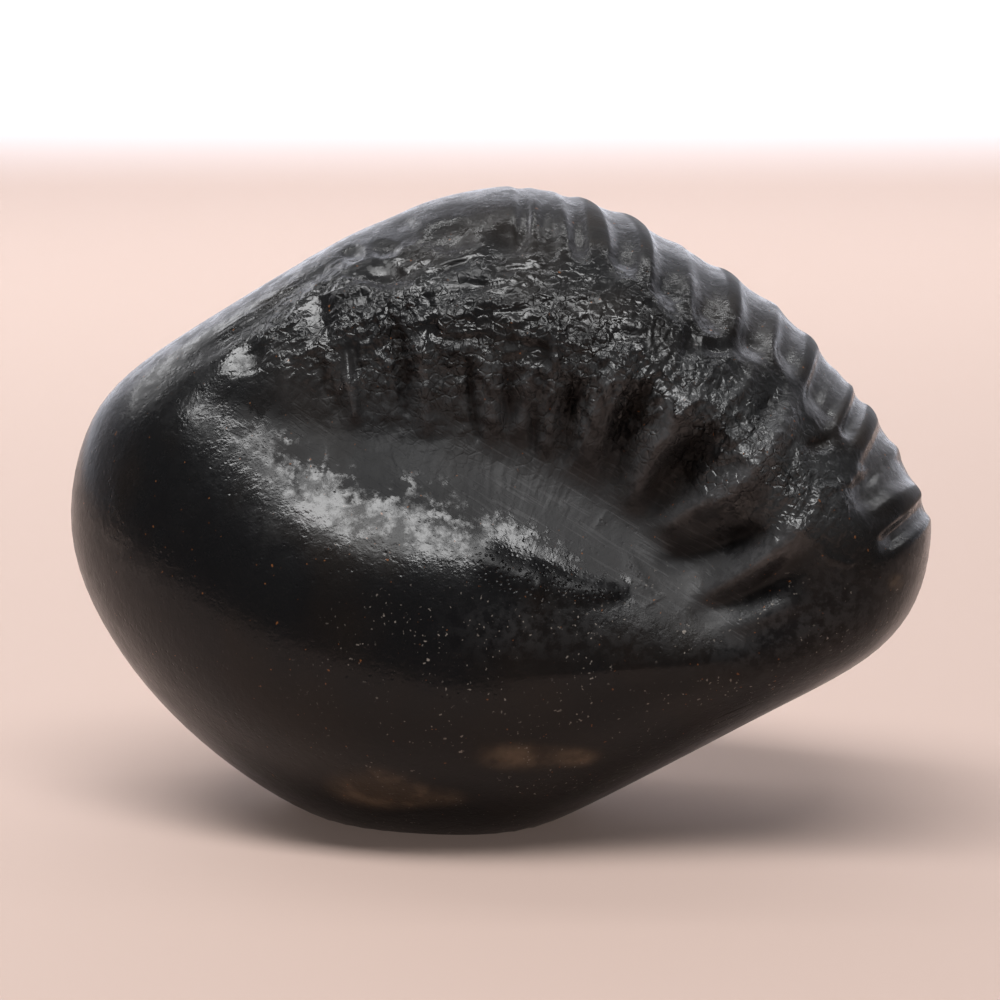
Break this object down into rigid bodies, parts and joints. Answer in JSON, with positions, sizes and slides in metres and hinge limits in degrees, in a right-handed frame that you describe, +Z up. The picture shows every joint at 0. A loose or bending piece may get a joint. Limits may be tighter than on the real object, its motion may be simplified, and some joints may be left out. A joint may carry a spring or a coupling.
{
  "type": "ammonite fossil stone",
  "caption": "Palm-sized black river-worn stone with a smooth lobe and a ribbed stretch of an ammonite's coil, resting on its worn foot",
  "frame": {"origin": "centre of the bounding box's bottom, on the ground under the stone", "axes": "+X to the viewer's right along the stone, +Y away from the viewer through the stone's thickness, +Z up; the ribbed face looks towards -Y"},
  "size_m": [0.0756, 0.0466, 0.0551],
  "materials": {
    "black_stone": "water-worn, semi-gloss black with a waxy polish on the high places and a dull surface in the valley"
  },
  "bodies": {
    "root": {"ammonite_stone": "black_stone"}
  },
  "joints": []
}
